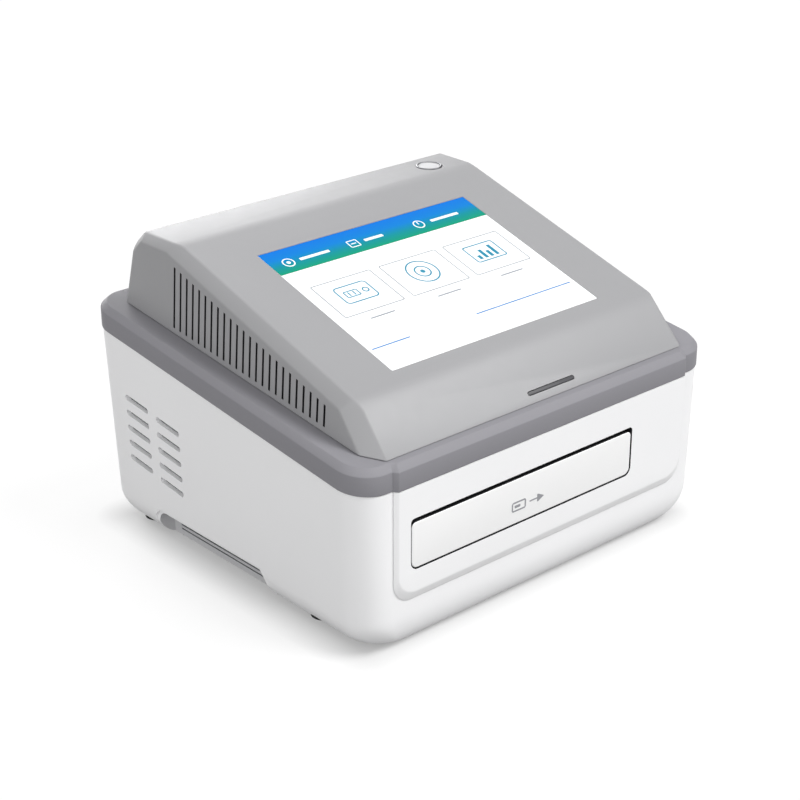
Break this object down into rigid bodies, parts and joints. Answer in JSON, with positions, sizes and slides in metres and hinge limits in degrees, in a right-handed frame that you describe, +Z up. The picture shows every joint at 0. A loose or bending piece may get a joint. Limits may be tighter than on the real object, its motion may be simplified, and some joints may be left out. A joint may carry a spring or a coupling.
{
  "type": "rapid test reader",
  "caption": "Bench-top reader for rapid test cassettes: tilted touch screen, push-open cassette drawer, scanner inside, vented case on rubber feet.",
  "frame": {"origin": "middle of the footprint, on the surface that the reader stands on", "axes": "+X to the user's right, +Y to the back of the reader, +Z up; the drawer opens towards -Y"},
  "size_m": [0.277, 0.246, 0.1865],
  "materials": {
    "white_shell": "satin moulded plastic",
    "white_drawer": "satin moulded plastic",
    "grey_band": "satin moulded plastic",
    "grey_console": "fine matt moulded plastic",
    "screen_glass": "glossy cover glass over a lit picture",
    "smoked_lens": "smoked translucent plastic",
    "button_white": "glossy plastic",
    "bright_ring": "plated trim ring",
    "dark_plastic": "matt moulded plastic",
    "insert_white": "matt moulded plastic",
    "steel": "bright zinc-plated or ground steel",
    "circuit_board": "green solder resist",
    "optical_glass": "polished lens",
    "filter_foam": "open foam",
    "rubber_foot": "matt rubber"
  },
  "bodies": {
    "case": {"lower_housing": "white_shell", "front_panel": "white_shell", "band_frame": "grey_band", "console_shell": "grey_console", "touch_glass": "screen_glass", "display_module": "dark_plastic", "display_bracket": "steel", "indicator_lens": "smoked_lens", "indicator_board": "circuit_board", "button_ring": "bright_ring", "button_spring": "steel", "switch_board": "circuit_board", "rail_left": "steel", "rail_right": "steel", "push_latch": "dark_plastic", "scan_bridge": "steel", "guide_rod_front": "steel", "guide_rod_back": "steel", "screw_bearing": "steel", "scan_motor": "dark_plastic", "main_board": "circuit_board", "usb_socket_1": "steel", "usb_socket_2": "steel", "network_socket": "steel", "power_inlet": "dark_plastic", "rear_plate": "dark_plastic", "power_module": "steel", "dust_filter_left": "filter_foam", "dust_filter_right": "filter_foam", "fan_frame": "dark_plastic", "foot_front_left": "rubber_foot", "foot_front_right": "rubber_foot", "foot_back_left": "rubber_foot", "foot_back_right": "rubber_foot", "case_screw_1": "steel", "case_screw_2": "steel", "case_screw_3": "steel", "case_screw_4": "steel"},
    "drawer": {"drawer_front": "white_drawer", "drawer_tray": "dark_plastic", "cassette_insert": "insert_white", "runner_left": "steel", "runner_right": "steel", "latch_striker": "steel"},
    "power_button": {"power_button": "button_white"},
    "scanner": {"optic_carriage": "dark_plastic", "lens_barrel": "dark_plastic", "objective_lens": "optical_glass", "lamp_ring": "circuit_board", "detector_board": "circuit_board"},
    "lead_screw": {"lead_screw": "steel"},
    "fan": {"fan_rotor": "dark_plastic"}
  },
  "joints": [
    {"name": "drawer_slide", "type": "slide", "parent": "case", "child": "drawer", "axis": [0, -1, 0], "range_m": [-0.003, 0.092]},
    {"name": "power_button_press", "type": "slide", "parent": "case", "child": "power_button", "axis": [0, 0, -1], "range_m": [0, 0.0015], "stiffness_N_per_m": 400, "deforming": ["button_spring"]},
    {"name": "scan_slide", "type": "slide", "parent": "case", "child": "scanner", "axis": [1, 0, 0], "range_m": [-0.06, 0.06]},
    {"name": "lead_screw_turn", "type": "hinge", "parent": "case", "child": "lead_screw", "pos_m": [-0.018, -0.066, 0.091], "axis": [1, 0, 0], "range_deg": [-4330, 4330]},
    {"name": "fan_spin", "type": "hinge", "parent": "case", "child": "fan", "pos_m": [-0.123, 0.06555, 0.06546], "axis": [1, 0, 0], "continuous": true}
  ],
  "couplings": [
    {"joint": "lead_screw_turn", "follows": "scan_slide", "rad_per_m": -1256.6}
  ]
}
